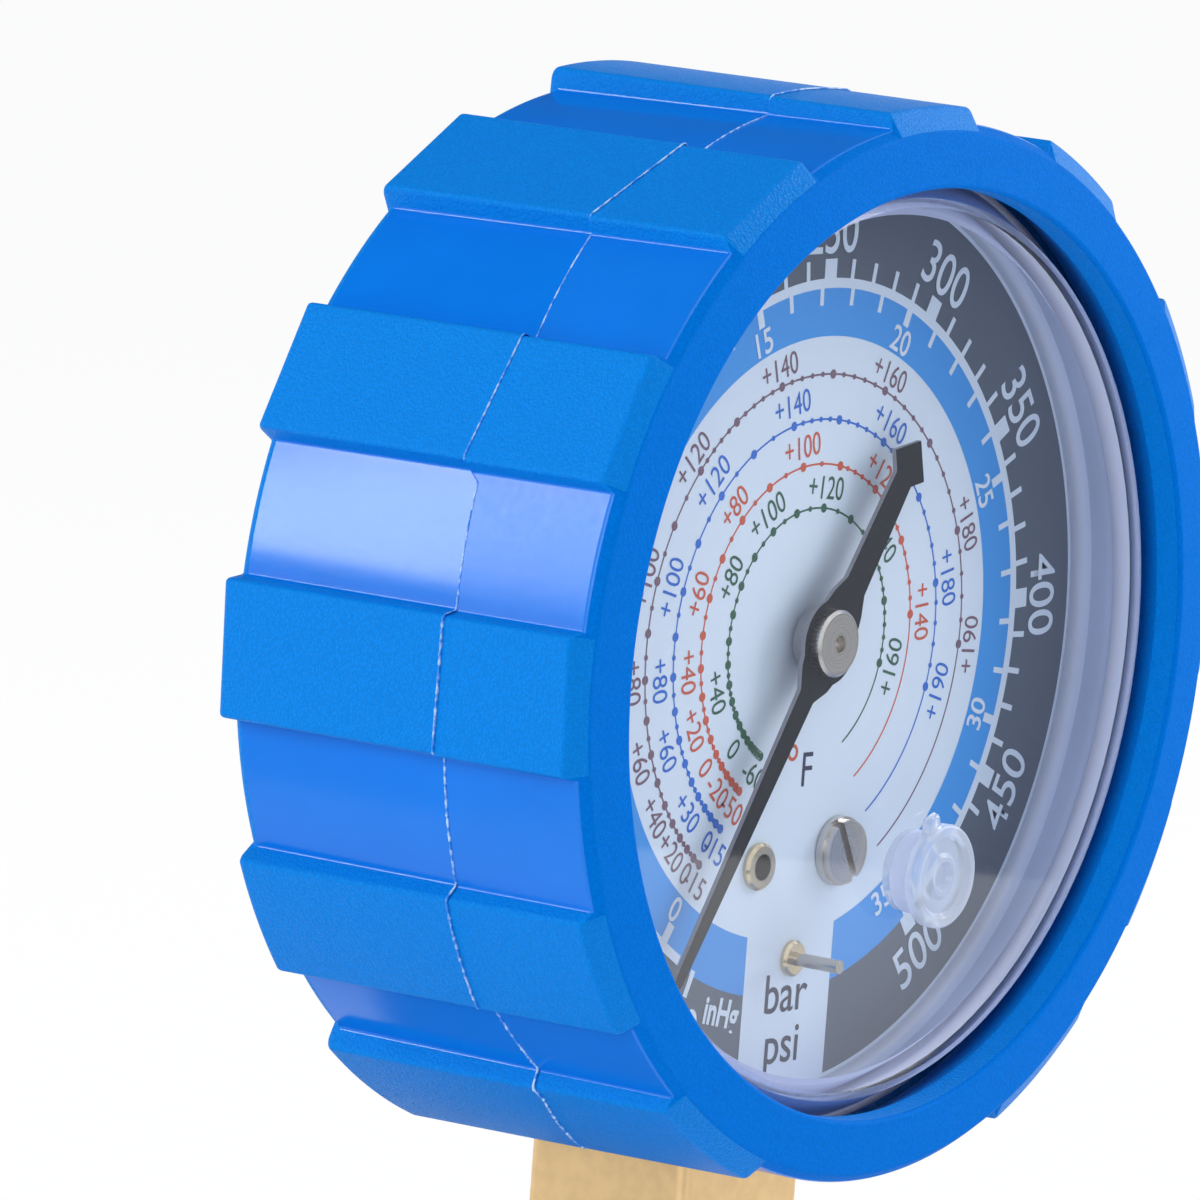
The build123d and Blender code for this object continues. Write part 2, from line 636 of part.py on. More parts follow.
for side, at in block_screws.items():
    with BuildPart() as movement_screw:
        head_front = back_plate[1] + movement_head
        discs(at, [(movement_screw_r - press, block_front - screw_depth + 0.2, back_plate[1]),
                   (movement_screw_r + movement_head, back_plate[1], head_front)])
        slot(at, 70, head_front, 5 * movement_screw_r, 0.5, 0.5)
    save(movement_screw.part, f"movement_screw_{side}")
    with BuildPart() as case_screw:
        discs(at, [(case_screw_r + case_head, case_back - case_head, case_back),
                   (case_screw_r - press, case_back, case_inside + screw_depth - 0.5)])
        chamfer(case_screw.faces().sort_by(Axis.Y)[-1].edges(), 0.6)
        with BuildSketch(face(case_back - case_head)):
            with Locations(at):
                Rectangle(3.4, 0.7)
                Rectangle(0.7, 3.4)
        extrude(amount=0.9, mode=Mode.SUBTRACT)
    save(case_screw.part, f"case_screw_{side}")

# ---- pressure element ----------------------------------------------------------------------------
with BuildPart() as bourdon_tube:
    with BuildSketch(radial(tube_tip_angle)):
        with Locations((tube_r, tube_mid)):
            SlotOverall(tube_depth, tube_thickness, rotation=90)
            Rectangle(tube_thickness - 2 * tube_wall, tube_depth - 4 * tube_wall,
                      mode=Mode.SUBTRACT)
    revolve(axis=dial_axis, revolution_arc=tube_root_angle - tube_tip_angle)
save(bourdon_tube.part, "bourdon_tube")

cap_mouth = tube_tip_angle + cap_reach
cap_bottom = tube_tip_angle - cap_floor
cap_end = cap_bottom - 2.5
with BuildPart() as tip_block:
    with BuildSketch(radial(cap_end)):
        with Locations((tube_r, tube_mid)):
            SlotOverall(tube_depth + 2 * (cap_wall + running),
                        tube_thickness + 2 * (cap_wall + running), rotation=90)
    revolve(axis=dial_axis, revolution_arc=cap_mouth - cap_end)
    with BuildSketch(face(lug_layer[0])):
        with BuildLine():
            CenterArc(tip_pin, link_half_width + 0.5, 0, 360)
            CenterArc(polar(tube_r, tip_angle - 3), link_half_width + 0.5, 0, 360)
        make_hull()
    extrude(amount=lug_layer[1] - lug_layer[0])
    with BuildSketch(radial(cap_bottom)):
        with Locations((tube_r, tube_mid)):
            SlotOverall(tube_depth + 2 * running, tube_thickness + 2 * running, rotation=90)
    revolve(axis=dial_axis, revolution_arc=cap_mouth - cap_end, mode=Mode.SUBTRACT)
    bore(tip_pin, link_pin_r + link_play, lug_layer[0] - 0.4, lug_layer[1])
save(tip_block.part, "tip_block")
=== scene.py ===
"""Refrigerant manifold gauge: the looks of its dial, lens, boot and stem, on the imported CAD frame."""
from math import asin, cos, degrees, exp, log, pi, radians, sin, tan

import bmesh
import bpy
from mathutils import Matrix, Vector, noise


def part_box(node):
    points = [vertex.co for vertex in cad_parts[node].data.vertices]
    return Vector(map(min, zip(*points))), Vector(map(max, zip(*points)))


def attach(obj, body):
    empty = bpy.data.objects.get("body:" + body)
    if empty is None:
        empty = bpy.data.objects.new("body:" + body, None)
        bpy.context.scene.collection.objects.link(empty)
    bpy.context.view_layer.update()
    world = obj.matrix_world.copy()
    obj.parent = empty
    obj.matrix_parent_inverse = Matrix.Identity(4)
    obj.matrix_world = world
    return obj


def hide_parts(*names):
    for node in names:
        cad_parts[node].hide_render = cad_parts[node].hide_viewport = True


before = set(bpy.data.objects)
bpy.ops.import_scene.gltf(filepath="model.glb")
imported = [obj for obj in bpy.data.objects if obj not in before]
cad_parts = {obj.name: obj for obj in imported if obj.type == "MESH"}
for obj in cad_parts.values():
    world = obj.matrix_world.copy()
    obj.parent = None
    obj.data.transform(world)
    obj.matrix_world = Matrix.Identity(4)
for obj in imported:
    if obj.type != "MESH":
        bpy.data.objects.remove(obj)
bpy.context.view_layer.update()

mm = 0.001

# ---- sizes, in millimetres unless a line says otherwise ------------------------------------------
# camera, fitted to the dial circles and the boot's pads
camera_at = (-481.87, -354.94, 127.46)
camera_aim = (-24.499, -9.0, 58.990)
camera_roll = -4.2152              # degrees
camera_lens = 253.956              # on a 36 mm sensor

# dial print: radii of the rings
strip_left, strip_right = -4.45, 5.9
blue_in, blue_out = 21.5, 24.9
black_in, black_out = 25.6, 32.25
scale_start, degrees_per_psi = 237.5, 0.585
psi_per_bar = 14.504
full_scale = 500
line_ring_start = 240.6
vacuum_tick = (25.2, 27.2, 245.1, 0.5)   # inner and outer radius, angle and width
bar_zero_angle, bar_zero_width = 235.0, 0.8
vacuum_label_angle, bar_zero_label_angle = 246.2, 234.0
ink = 0.012                        # depth of one coat of print
tick_width, thick_tick, bar_thick_tick = 0.42, 1.4, 0.68
psi_tick_out, bar_tick_in = 26.97, 23.7
psi_number_r, psi_number_height = 28.9, 3.15
bar_number_r, bar_number_height = 22.62, 1.85

# boot
boot_r, pad_r, pad_back_r = 37.4, 38.5, 39.0
pad_half_angle, pad_flank_angle = 7.1, 0.6
pad_pitch, boot_turn, stem_pad = 30.0, 2.1, 9
end_pad_extra = 3.3                # degrees more of the pads on either side of the stem
flat_pads = (4, 5, 6)              # the others are round
flank_rounds = [0, 0.2, 0.4, 0.4, 0.2, 0]
relief_step = 0.6                  # about how far apart the sections round the boot are
boot_back, lip_r = -21.6, 32.85
recess_front, pad_front = 8.45, 8.1
recess_back_round, pad_back_round = 0.85, 0.6
ring_depth = 8.7                   # the front ring is what lies further forward
polish_back, polish_front = -20.5, 8.6   # depths between which the recesses are smooth
opening_side, opening_height, opening_corner = 15.2, 8.0, 1.5   # for the stem
mould_step = 0.05                  # how far the rear half stands above the front half
mould_twist = 0.18                 # degrees that the front half is turned on the rear half
flash_range = (84, 262)            # angles between which flash is left on the parting line
tall_flash_from, low_flash = 172, 0.3    # where it grows tall, and its strength before that
flash_step = 0.15                  # degrees
# where the two mould halves meet, as (angle, depth)
parting_line = [(0, -2.9), (100, -2.2), (114, -1.6), (130, -3.4), (144, -2.6), (160, -3.6), (161, -2.8),
                (174, -2.4), (190, -2.8), (205, -3.2), (220, -3.7), (234, -3.0), (250, -6.0), (290, -6.0),
                (320, -2.9), (360, -2.9)]

# lens skirt
foot_lift, foot_overlap = 0.06, 0.2      # above the dial's face, and into the lens
# the fin is a sheet inside the lens's wall that shows the wall's painted reflection
fin_tip = 6.0                      # depth

# lens plug
plug_middle = (7.9, -16.45)
tab_size, tab_round = (1.8, 0.8, 1.7), 0.25
tab_r, tab_angle = 3.9, 113

# stem
thread_pitch, thread_depth = 0.94, 0.5
thread_crest, thread_top, neck_r = 5.1, 5.0, 4.6
flank_slope, crest_flat = 1.25, 0.12     # how fast the thread deepens, less what stays at the crest
end_chamfer, run_out, run_out_slope = 0.6, 0.55, 1.5

# studio
floor_height, floor_reach = -0.0062, 4   # metres
floor_glow, world_glow = 0.93, 0.47

# ---- frames --------------------------------------------------------------------------------------
dial_low, dial_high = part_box("dial_plate")
face_y = dial_low.y / mm
dial_height = (dial_low.z + dial_high.z) / 2 / mm
dial_r = (dial_high.x - dial_low.x) / 2 / mm
plug_low, plug_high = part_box("lens_plug")


def place(x, y, depth):
    """A point x to the right of and y above the dial's centre, depth in front of its face."""
    return Vector((x * mm, (face_y - depth) * mm, (dial_height + y) * mm))


def polar(r, angle):
    return (r * cos(radians(angle)), r * sin(radians(angle)))


def srgb(r, g, b):
    """A colour as it looks on screen, 0 to 255, in the linear numbers that shaders take."""
    def linear(v):
        v /= 255
        return v / 12.92 if v <= 0.04045 else ((v + 0.055) / 1.055) ** 2.4
    return (linear(r), linear(g), linear(b), 1.0)


# ---- materials -----------------------------------------------------------------------------------
class Shader:
    """A material with one Principled shader, and short ways to add nodes to it."""

    def __init__(self, name, colour, roughness, **sockets):
        self.material = bpy.data.materials.new(name)
        self.material.use_nodes = True
        self.tree = self.material.node_tree
        self.main = self.tree.nodes["Principled BSDF"]
        self.main.inputs["Base Color"].default_value = colour
        self.main.inputs["Roughness"].default_value = roughness
        for socket, value in sockets.items():
            self.main.inputs[socket.replace("_", " ")].default_value = value

    def node(self, kind, inputs=(), **settings):
        """Adds a node; inputs maps a socket's name or number to a value or to another socket."""
        n = self.tree.nodes.new(kind)
        for key, value in settings.items():
            setattr(n, key, value)
        for key, value in dict(inputs).items():
            if isinstance(value, bpy.types.NodeSocket):
                self.tree.links.new(value, n.inputs[key])
            else:
                n.inputs[key].default_value = value
        return n

    def link(self, source, socket):
        self.tree.links.new(source, self.main.inputs[socket])

    def coords(self, scale=(1, 1, 1), offset=(0, 0, 0)):
        """Object coordinates in metres, moved by offset and then scaled."""
        here = self.node("ShaderNodeTexCoord").outputs["Object"]
        moved = self.node("ShaderNodeVectorMath", {0: here, 1: offset}, operation="ADD")
        return self.node("ShaderNodeVectorMath", {0: moved.outputs[0], 1: scale},
                         operation="MULTIPLY").outputs[0]

    def math(self, operation, a, b=0.0):
        return self.node("ShaderNodeMath", {0: a, 1: b}, operation=operation).outputs[0]

    def ramp(self, value, low, high, out_low=0.0, out_high=1.0):
        """Value mapped from low..high to out_low..out_high, held at the ends."""
        return self.node("ShaderNodeMapRange", {0: value, 1: low, 2: high, 3: out_low,
                                                4: out_high}).outputs[0]

    def mix(self, factor, a, b):
        return self.node("ShaderNodeMix", {0: factor, 6: a, 7: b}, data_type="RGBA").outputs[2]

    def noise(self, where, scale, detail=2.0):
        return self.node("ShaderNodeTexNoise", {"Vector": where, "Scale": scale, "Detail": detail,
                                                "Roughness": 0.5}).outputs[0]

    def bump(self, height, distance):
        """Relief of this depth, in millimetres."""
        return self.node("ShaderNodeBump", {"Strength": 1.0, "Distance": distance * mm,
                                            "Height": height}).outputs[0]

    def radius(self):
        """Distance from the dial's axis, in metres."""
        flat = self.coords((1, 0, 1), (0, 0, -dial_height * mm))
        return self.node("ShaderNodeVectorMath", {0: flat}, operation="LENGTH").outputs["Value"]


def metal(name, colour, roughness, grain_scale=(1, 1, 1), grain=0.2, relief=0.0008):
    """Bare metal with fine tool marks stretched along the short side of grain_scale."""
    s = Shader(name, colour, roughness, Metallic=1.0)
    marks = s.noise(s.coords(grain_scale), 9000.0, 3.0)
    s.link(s.ramp(marks, 0.3, 0.7, roughness * (1 - grain), roughness * (1 + grain)), "Roughness")
    dull = tuple(c * 0.92 for c in colour[:3]) + (1.0,)
    s.link(s.mix(s.ramp(s.noise(s.coords(), 900.0), 0.35, 0.65), colour, dull), "Base Color")
    s.link(s.bump(marks, relief), "Normal")
    return s.material


def turned_metal(name, colour, roughness, centre):
    """Metal faced on a lathe: fine rings round a point (x, y) of the dial."""
    s = Shader(name, colour, roughness, Metallic=1.0)
    flat = s.coords((1, 0, 1), tuple(-c for c in place(*centre, 0)))
    r = s.node("ShaderNodeVectorMath", {0: flat}, operation="LENGTH").outputs["Value"]
    rings = s.noise(s.node("ShaderNodeCombineXYZ", {0: r}).outputs[0], 14000.0, 2.0)
    s.link(s.ramp(rings, 0.3, 0.7, roughness - 0.06, roughness + 0.06), "Roughness")
    s.link(s.bump(rings, 0.0015), "Normal")
    return s.material


def boot_material(name, colour, roughness, specular, tint, grain=0.0):
    """Moulded blue rubber; grain is the depth of its leather texture, in millimetres."""
    s = Shader(name, colour, roughness, Specular_IOR_Level=specular, Specular_Tint=tint)
    where = s.coords()
    light, dark = (tuple(c * share for c in colour[:3]) + (1.0,) for share in (1.08, 0.92))
    s.link(s.ramp(s.noise(where, 2500.0, 4.0), 0.3, 0.7, roughness - 0.03, roughness + 0.03),
           "Roughness")
    if grain:
        cells = s.node("ShaderNodeTexVoronoi", {"Vector": where, "Scale": 4300.0, "Randomness": 0.9},
                       feature="F1").outputs["Distance"]
        s.link(s.mix(s.ramp(cells, 0.1, 0.6), light, dark), "Base Color")
        s.link(s.bump(s.math("ADD", cells, s.noise(where, 9000.0, 2.0)), grain), "Normal")
    else:
        s.link(s.mix(s.noise(where, 120.0), light, dark), "Base Color")
        s.link(s.bump(s.noise(where, 700.0, 3.0), 0.004), "Normal")
    return s.material


def flash_material():
    """Thin torn rubber along the parting line, stretched pale, its pale patches also a painted highlight
    on the bead.
    """
    s = Shader("boot_flash", srgb(120, 180, 240), 0.5)
    torn = s.ramp(s.noise(s.coords(), 1800.0, 3.0), 0.42, 0.62)
    # the pale patches are partly stress-whitened rubber and partly a painted highlight on the bead
    s.link(s.mix(torn, srgb(40, 135, 230), srgb(190, 220, 250)), "Base Color")
    return s.material


def print_material(name, colour):
    """Screen-printed ink: even, with a fine orange peel and a faint cloud."""
    s = Shader(name, colour, 0.4)
    pale = tuple(c * 0.96 for c in colour[:3]) + (1.0,)
    s.link(s.mix(s.noise(s.coords(), 600.0), colour, pale), "Base Color")
    s.link(s.bump(s.noise(s.coords(), 3000.0, 2.0), 0.0004), "Normal")
    return s.material


def clear_material(name, tint, haze_and_reflection, roughness=0.03):
    """Clear plastic: lets sight and light straight through and mirrors a little, more at a slant.

    Returns the shader, and the node whose factor says how much of the cloud is mixed in; on the lens's
    wall that cloud is a painted reflection."""
    s = Shader(name, haze_and_reflection, 0.4, Specular_IOR_Level=0.0)
    clear = s.node("ShaderNodeBsdfTransparent", {"Color": tint})
    gloss = s.node("ShaderNodeBsdfGlossy", {"Color": (1, 1, 1, 1), "Roughness": roughness})
    facing = s.node("ShaderNodeLayerWeight", {"Blend": 0.5}).outputs["Facing"]
    fresnel = s.math("ADD", s.math("MULTIPLY", s.math("POWER", facing, 5.0), 0.96), 0.04)
    polished = s.node("ShaderNodeMixShader", {0: fresnel, 1: clear.outputs[0], 2: gloss.outputs[0]})
    body = s.node("ShaderNodeMixShader", {0: 0.0, 1: polished.outputs[0], 2: s.main.outputs[0]})
    s.tree.links.new(body.outputs[0], s.tree.nodes["Material Output"].inputs["Surface"])
    return s, body


def lens_material():
    """The lens: nearly clear where it faces forward, clouded on its wall and beyond the print, a painted
    reflection of what the clear wall mirrors.
    """
    # the lavender second colour is the painted reflection seen on the lens's wall
    s, body = clear_material("lens_clear", srgb(253, 254, 255), srgb(215, 222, 246))
    normal = s.node("ShaderNodeNewGeometry").outputs["True Normal"]
    forward = s.math("ABSOLUTE", s.node("ShaderNodeSeparateXYZ", {0: normal}).outputs[1])
    reflection_milk, nearly_clear = 0.94, 0.012
    # painted reflection: the wall, and the foot beyond the print, turn lavender where the clear plastic
    # would mirror its surroundings
    wall = s.ramp(forward, 0.85, 0.97, reflection_milk, nearly_clear)
    foot = s.ramp(s.radius(), (black_out - 0.1) * mm, (black_out + 0.1) * mm, 0.0, reflection_milk)
    s.tree.links.new(s.math("MAXIMUM", wall, foot), body.inputs[0])
    return s.material


def plug_material():
    s, body = clear_material("plug_clear", srgb(250, 252, 255), srgb(225, 233, 248), 0.06)
    body.inputs[0].default_value = 0.4
    return s.material


def paint_material(name, colour, roughness):
    s = Shader(name, colour, roughness)
    where = s.coords()
    s.link(s.ramp(s.noise(where, 800.0, 3.0), 0.3, 0.7, roughness - 0.06, roughness + 0.06),
           "Roughness")
    s.link(s.bump(s.noise(where, 3500.0, 2.0), 0.004), "Normal")
    return s.material


def pointer_material():
    """Matt black on the front of stamped aluminium, whose cut edges are bare."""
    s = Shader("pointer_black", srgb(30, 30, 34), 0.45, Specular_IOR_Level=0.12)
    facing = s.node("ShaderNodeSeparateXYZ",
                    {0: s.node("ShaderNodeNewGeometry").outputs["True Normal"]}).outputs[1]
    bare = s.ramp(s.math("ABSOLUTE", facing), 0.8, 0.9, 1.0, 0.0)
    speck = s.noise(s.coords(), 5000.0, 2.0)
    black = s.mix(s.ramp(speck, 0.4, 0.7), srgb(25, 25, 29), srgb(36, 36, 41))
    s.link(s.mix(bare, black, srgb(150, 150, 155)), "Base Color")
    s.link(s.bump(speck, 0.003), "Normal")
    return s.material


brass = metal("brass", srgb(226, 190, 128), 0.24)
satin_brass = metal("satin_brass", srgb(238, 204, 152), 0.34, (1, 1, 0.2), 0.15, 0.0006)
nickel = metal("nickel", srgb(186, 181, 176), 0.24, (1, 0.1, 1), 0.15, 0.0004)
eyelet_brass = metal("eyelet_brass", srgb(218, 202, 172), 0.22)
hub_nickel = turned_metal("hub_nickel", srgb(208, 203, 197), 0.3, (0, 0))
screw_nickel = turned_metal("screw_nickel", srgb(205, 200, 196), 0.3, (5.4, -15.5))
spring_bronze = metal("spring_bronze", srgb(205, 160, 100), 0.3)
bezel_steel = metal("bezel_steel", srgb(215, 215, 218), 0.18)
case_paint = paint_material("case_paint", srgb(26, 27, 30), 0.38)
black_rubber = paint_material("black_rubber", srgb(24, 24, 25), 0.7)
blue_sheen, pale_sheen = (0.3, 0.65, 1, 1), (0.8, 0.85, 1, 1)
boot_grained = boot_material("boot_grained", srgb(0, 126, 220), 0.42, 0.14, blue_sheen, 0.05)
# the front ring's darker blue than the pads' is painted shade; its low sheen and fine grain are its
# finish
boot_ring_shaded = boot_material("boot_ring_shaded", srgb(0, 112, 212), 0.5, 0.02, blue_sheen, 0.02)
boot_smooth_front = boot_material("boot_smooth_front", srgb(0, 114, 218), 0.24, 0.4, pale_sheen)
boot_smooth_rear = boot_material("boot_smooth_rear", srgb(0, 114, 218), 0.15, 0.4, pale_sheen)
boot_flash = flash_material()
lens_clear = lens_material()
plug_clear = plug_material()
pointer_black = pointer_material()
ink_white = print_material("ink_white", srgb(228, 240, 255))
ink_blue = print_material("ink_blue", srgb(46, 156, 242))
# black print drawn lighter and bluer than black ink: partly the ink, partly a painted reflection of the
# veil the lens lays over it
ink_black_and_reflection = print_material("ink_black_and_reflection", srgb(84, 95, 112))
ink_navy = print_material("ink_navy", srgb(30, 38, 72))
ink_brown = print_material("ink_brown", srgb(124, 92, 112))
ink_azure = print_material("ink_azure", srgb(24, 108, 214))
ink_orange = print_material("ink_orange", srgb(214, 90, 60))
ink_green = print_material("ink_green", srgb(36, 96, 70))

finishes = {
    case_paint: ["case"], black_rubber: ["relief_plug", "lens_gasket"],
    bezel_steel: ["bezel_ring"], ink_white: ["dial_plate"], lens_clear: ["lens"],
    pointer_black: ["pointer", "pointer_bushing"], hub_nickel: ["pointer_hub"],
    screw_nickel: ["adjusting_screw"],
    nickel: ["stop_pin", "case_screw_left", "case_screw_right",
             "movement_screw_left", "movement_screw_right", "plate_screw_left",
             "plate_screw_right", "pinion_arbor", "sector_arbor", "link_screw", "link_pin"],
    eyelet_brass: ["dial_eyelet", "stop_pin_eyelet"],
    brass: ["restrictor", "pinion", "hairspring_collet", "hairspring_stud", "sector_gear", "link",
            "tip_block", "movement_front_plate", "movement_back_plate", "pillar_left",
            "pillar_right"],
    spring_bronze: ["hairspring", "bourdon_tube"],
}
for material, names in finishes.items():
    for node_name in names:
        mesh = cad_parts[node_name].data
        mesh.materials.clear()
        mesh.materials.append(material)


# ---- mesh helpers --------------------------------------------------------------------------------
def piece(name, mesh, material, body="gauge", replaces=()):
    """A mesh as a finished piece of the object."""
    if material:
        mesh.materials.clear()
        mesh.materials.append(material)
    obj = bpy.data.objects.new(name, mesh)
    bpy.context.scene.collection.objects.link(obj)
    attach(obj, body)
    if replaces:
        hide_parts(*replaces)
    return obj


def mesh_from(name, points, faces):
    mesh = bpy.data.meshes.new(name)
    mesh.from_pydata([tuple(p) for p in points], [], faces)
    mesh.update()
    mesh.shade_smooth()
    return mesh


def grid_faces(rows, columns, wrap_rows=True):
    """Quads over a grid of points numbered row by row, each row a closed loop."""
    faces = []
    for i in range(rows if wrap_rows else rows - 1):
        for j in range(columns):
            k, l = (i + 1) % rows, (j + 1) % columns
            faces.append((i * columns + j, i * columns + l, k * columns + l, k * columns + j))
    return faces


def rounded(points, radii, steps=5, closed=False):
    """The points with each corner turned into an arc of its radius; radius 0 keeps the corner."""
    out = []
    count = len(points)
    for i, (point, r) in enumerate(zip(points, radii)):
        corner = Vector(point)
        if r == 0 or (not closed and i in (0, count - 1)):
            out.append(tuple(corner))
            continue
        a = (Vector(points[i - 1]) - corner).normalized()
        b = (Vector(points[(i + 1) % count]) - corner).normalized()
        half = a.angle(b) / 2
        reach = r / tan(half)
        centre = corner + (a + b).normalized() * (r / sin(half))
        start, end = corner + a * reach - centre, corner + b * reach - centre
        turn = start.angle_signed(end)
        for k in range(steps + 1):
            out.append(tuple(centre + Matrix.Rotation(-turn * k / steps, 2) @ start))
    return out


def lathe(name, outline, centre=(0.0, 0.0), steps=96):
    """A closed (radius, depth) outline turned about an axis square to the dial."""
    points = []
    for i in range(steps):
        angle = 360 * i / steps
        for r, depth in outline:
            x, y = polar(r, angle)
            points.append(place(centre[0] + x, centre[1] + y, depth))
    return mesh_from(name, points, grid_faces(steps, len(outline)))


# ---- rubber boot ---------------------------------------------------------------------------------
def pad_edges():
    """(start, end, is it flat) of the pads' tops; there is no pad over the stem."""
    edges = []
    for k in range(12):
        middle = boot_turn + pad_pitch * k
        start, end = middle - pad_half_angle, middle + pad_half_angle
        if k == stem_pad - 1:
            start -= end_pad_extra
        if k == stem_pad + 1:
            end += end_pad_extra
        if k != stem_pad:
            edges.append((start, end, k in flat_pads))
    return edges


def boot_relief():
    """(angle, share, flat) round the boot: share is 0 in the recesses and 1 on the pads.

    The top of a pad lies at flat times the radius of the pad's edge."""
    per_degree = radians(1) * boot_r
    rise = pad_r - boot_r
    edges = pad_edges()
    ends_before = [edges[-1][1] - 360] + [edge[1] for edge in edges[:-1]]
    starts_after = [edge[0] for edge in edges[1:]] + [edges[0][0] + 360]
    relief = []
    for (start, end, is_flat), before, after in zip(edges, ends_before, starts_after):
        flank = [((before + start) / 2, 0), (start - pad_flank_angle, 0), (start, rise), (end, rise),
                 (end + pad_flank_angle, 0), ((end + after) / 2, 0)]
        outline = rounded([(angle * per_degree, h) for angle, h in flank], flank_rounds)
        middle, half = (start + end) / 2, (end - start) / 2
        for (x0, h0), (x1, h1) in zip(outline, outline[1:]):
            parts = max(1, round(abs(x1 - x0) / relief_step))
            for k in range(parts):
                angle = (x0 + (x1 - x0) * k / parts) / per_degree
                flat = 1.0
                if is_flat:
                    flat = cos(radians(half)) / cos(radians(min(half, abs(angle - middle))))
                relief.append((angle, (h0 + (h1 - h0) * k / parts) / rise, flat))
    return relief


def parting_depth(angle):
    """Depth at which the two mould halves meet, between the points of the parting line."""
    angle %= 360
    for (a0, n0), (a1, n1) in zip(parting_line, parting_line[1:]):
        if angle <= a1:
            return n0 + (n1 - n0) * (angle - a0) / (a1 - a0)


def boot_outline(side_r, back_r, back_round, front_depth, meet):
    """Closed (radius, depth) outline of the boot's wall, whose mould halves meet at depth meet.

    The corners are (radius, depth, rounding)."""
    share = (meet - boot_back) / (front_depth - boot_back)
    meet_r = back_r + (side_r - back_r) * share
    outside = [(28.6, boot_back, 0.3), (back_r, boot_back, back_round),
               (meet_r + mould_step, meet - 0.03, 0), (meet_r, meet + 0.03, 0),
               (side_r, front_depth, 0.45)]
    ring_and_lip = [(36.8, 9.2, 0.5), (lip_r, 9.66, 0.32), (lip_r, 7.5, 0.1)]
    round_the_bezel = [(34.6, 3.9, 0), (35.7, 3.9, 0), (35.7, -1.0, 0)]
    round_the_case = [(34.2, -1.0, 0), (34.2, -18.2, 0), (32.0, -20.5, 0), (28.6, -20.5, 0.2)]
    corners = outside + ring_and_lip + round_the_bezel + round_the_case
    return rounded([c[:2] for c in corners], [c[2] for c in corners], closed=True)


def boot_section(angle, share, flat):
    """The wall's (radius, depth) outline at this angle, between a recess's and a pad's."""
    meet = parting_depth(angle)
    recess = boot_outline(boot_r, boot_r - 0.05, recess_back_round, recess_front, meet)
    pad = boot_outline(pad_r * flat, pad_back_r * flat, pad_back_round, pad_front, meet)
    return [(r0 + (r1 - r0) * share, n0 + (n1 - n0) * share)
            for (r0, n0), (r1, n1) in zip(recess, pad)]


def stem_cutter():
    """The square opening that lets the stem through the boot's wall."""
    bm = bmesh.new()
    bmesh.ops.create_cube(bm, size=1.0)
    side, height = opening_side * mm, opening_height * mm
    bmesh.ops.scale(bm, vec=(side, side, height), verts=bm.verts)
    upright = [e for e in bm.edges if abs(e.verts[0].co.z - e.verts[1].co.z) > height / 2]
    bmesh.ops.bevel(bm, geom=upright, offset=opening_corner * mm, segments=6, affect="EDGES",
                    profile=0.5)
    bottom = (dial_height - pad_r - 1) * mm
    bmesh.ops.translate(bm, vec=(0, 0, bottom + height / 2), verts=bm.verts)
    mesh = bpy.data.meshes.new("stem_cutter")
    bm.to_mesh(mesh)
    bm.free()
    cutter = bpy.data.objects.new("stem_cutter", mesh)
    bpy.context.scene.collection.objects.link(cutter)
    return cutter


def finish_boot_faces(mesh):
    """Grain on the pads, a polish in the recesses, finer behind the parting line, and a dull ring whose
    darker blue is painted shade.
    """
    for boot_finish in (boot_grained, boot_smooth_front, boot_smooth_rear, boot_ring_shaded):
        mesh.materials.append(boot_finish)
    for face in mesh.polygons:
        x, y, z = face.center / mm
        depth = face_y - y
        across = Vector((x, z - dial_height))
        angle = -degrees(Vector((1, 0)).angle_signed(across))
        if boot_r - 0.5 < across.length < boot_r + 0.2 and polish_back < depth < polish_front:
            face.material_index = 1 if depth > parting_depth(angle) else 2
        # the front ring takes the darker copy of the rubber, whose darkness is painted shade
        if depth > ring_depth:
            face.material_index = 3


def build_boot():
    points = []
    for angle, share, flat in boot_relief():
        section = boot_section(angle, share, flat)
        for r, depth in section:
            twist = mould_twist if depth > parting_depth(angle) else 0
            points.append(place(*polar(r, angle + twist), depth))
    mesh = mesh_from("boot_rough", points, grid_faces(len(points) // len(section), len(section)))
    rough = bpy.data.objects.new("boot_rough", mesh)
    bpy.context.scene.collection.objects.link(rough)
    cutter = stem_cutter()
    cut = rough.modifiers.new("stem", "BOOLEAN")
    cut.operation, cut.solver, cut.object = "DIFFERENCE", "EXACT", cutter
    whole = bpy.data.meshes.new_from_object(rough.evaluated_get(bpy.context.evaluated_depsgraph_get()))
    for obj in (rough, cutter):
        bpy.data.objects.remove(obj)
    whole.shade_smooth()
    boot = piece("boot_skin", whole, None, replaces=["boot"])
    finish_boot_faces(whole)
    crisp = boot.modifiers.new("crisp", "WEIGHTED_NORMAL")
    crisp.keep_sharp = True


